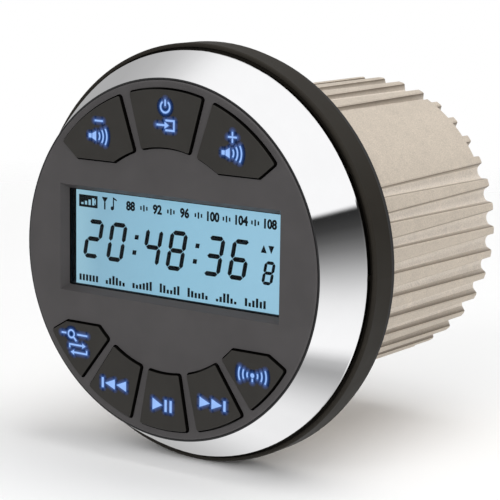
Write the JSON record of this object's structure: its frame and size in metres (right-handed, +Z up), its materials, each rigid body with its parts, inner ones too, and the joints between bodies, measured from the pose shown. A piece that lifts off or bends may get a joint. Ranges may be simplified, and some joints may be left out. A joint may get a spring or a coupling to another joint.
{
  "type": "marine stereo",
  "caption": "Round in-dash marine stereo: dark face with display and push keys, bright trim ring, black rim, finned round metal body and rear sockets.",
  "frame": {"origin": "centre of the mounting plane, where the back of the panel gasket meets the dash", "axes": "+Z up, +X to the right for someone facing the stereo, the face looks along -Y and the finned body runs along +Y through the panel"},
  "size_m": [0.1016, 0.1023, 0.1016],
  "materials": {
    "face_plastic": "fine satin, warm dark grey",
    "key_plastic": "satin, near black",
    "chrome_trim": "mirror chrome on plastic",
    "rim_plastic": "satin black",
    "seal_rubber": "matt black",
    "clear_acrylic": "clear, polished",
    "lcd_glass": "light blue when lit",
    "light_guide": "clear, rough back",
    "led": "white package",
    "white_plastic": "white, matt",
    "red_plastic": "red, matt",
    "strip_rubber": "grey, matt",
    "mat_rubber": "translucent grey, matt",
    "board": "green solder mask",
    "steel_screw": "bright stainless",
    "black_plastic": "black, matt",
    "ribbon": "grey, matt",
    "cast_body": "blasted and anodised, champagne",
    "thermal_pad": "pale blue-grey, matt",
    "chip": "black, matt",
    "tinned_lead": "tinned",
    "steel_bar": "plain steel",
    "capacitor_can": "dark sleeve, bright top",
    "ferrite": "matt grey",
    "copper_wire": "enamelled copper",
    "steel_can": "tinned steel",
    "gilt_pin": "gilt",
    "gilt_sleeve": "gilt"
  },
  "bodies": {
    "chassis": {"front_bezel": "face_plastic", "trim_ring": "chrome_trim", "front_housing": "rim_plastic", "face_seal": "seal_rubber", "panel_gasket": "seal_rubber", "display_lens": "clear_acrylic", "lcd_glass": "lcd_glass", "light_guide": "light_guide", "backlight_leds": "led", "lcd_frame": "white_plastic", "contact_strip": "strip_rubber", "keypad_mat": "mat_rubber", "front_board": "board", "key_leds": "led", "board_screws": "steel_screw", "bezel_screws": "steel_screw", "body_screws": "steel_screw", "front_header": "black_plastic", "main_header": "black_plastic", "ribbon_cable": "ribbon", "heatsink_body": "cast_body", "body_seal": "seal_rubber", "thermal_pad": "thermal_pad", "amplifier_chip": "chip", "amplifier_leads": "tinned_lead", "clamp_bar": "steel_bar", "clamp_screws": "steel_screw", "main_board": "board", "bulk_capacitors": "capacitor_can", "power_choke": "ferrite", "choke_winding": "copper_wire", "tuner_can": "steel_can", "wireless_module": "steel_can", "processor_chip": "chip", "link_header": "black_plastic", "rear_board": "board", "post_screws": "steel_screw", "power_socket": "black_plastic", "power_pins": "gilt_pin", "rca_base": "black_plastic", "rca_sleeves": "gilt_sleeve", "rca_left_inserts": "white_plastic", "rca_right_inserts": "red_plastic", "usb_shell": "steel_can", "usb_tongue": "black_plastic", "aerial_socket": "steel_can", "aerial_contact": "gilt_pin", "rear_seal": "seal_rubber", "rear_cover": "rim_plastic", "socket_seal": "seal_rubber", "cover_screws": "steel_screw"},
    "vol_down_key": {"vol_down_key": "key_plastic"},
    "power_key": {"power_key": "key_plastic"},
    "vol_up_key": {"vol_up_key": "key_plastic"},
    "scan_key": {"scan_key": "key_plastic"},
    "previous_key": {"previous_key": "key_plastic"},
    "play_key": {"play_key": "key_plastic"},
    "next_key": {"next_key": "key_plastic"},
    "band_key": {"band_key": "key_plastic"}
  },
  "joints": [
    {"name": "vol_down_press", "type": "slide", "parent": "chassis", "child": "vol_down_key", "axis": [0, 1, 0], "range_m": [0, 0.0007], "stiffness_N_per_m": 800, "springref_m": -0.001},
    {"name": "power_press", "type": "slide", "parent": "chassis", "child": "power_key", "axis": [0, 1, 0], "range_m": [0, 0.0007], "stiffness_N_per_m": 800, "springref_m": -0.001},
    {"name": "vol_up_press", "type": "slide", "parent": "chassis", "child": "vol_up_key", "axis": [0, 1, 0], "range_m": [0, 0.0007], "stiffness_N_per_m": 800, "springref_m": -0.001},
    {"name": "scan_press", "type": "slide", "parent": "chassis", "child": "scan_key", "axis": [0, 1, 0], "range_m": [0, 0.0007], "stiffness_N_per_m": 800, "springref_m": -0.001},
    {"name": "previous_press", "type": "slide", "parent": "chassis", "child": "previous_key", "axis": [0, 1, 0], "range_m": [0, 0.0007], "stiffness_N_per_m": 800, "springref_m": -0.001},
    {"name": "play_press", "type": "slide", "parent": "chassis", "child": "play_key", "axis": [0, 1, 0], "range_m": [0, 0.0007], "stiffness_N_per_m": 800, "springref_m": -0.001},
    {"name": "next_press", "type": "slide", "parent": "chassis", "child": "next_key", "axis": [0, 1, 0], "range_m": [0, 0.0007], "stiffness_N_per_m": 800, "springref_m": -0.001},
    {"name": "band_press", "type": "slide", "parent": "chassis", "child": "band_key", "axis": [0, 1, 0], "range_m": [0, 0.0007], "stiffness_N_per_m": 800, "springref_m": -0.001}
  ]
}
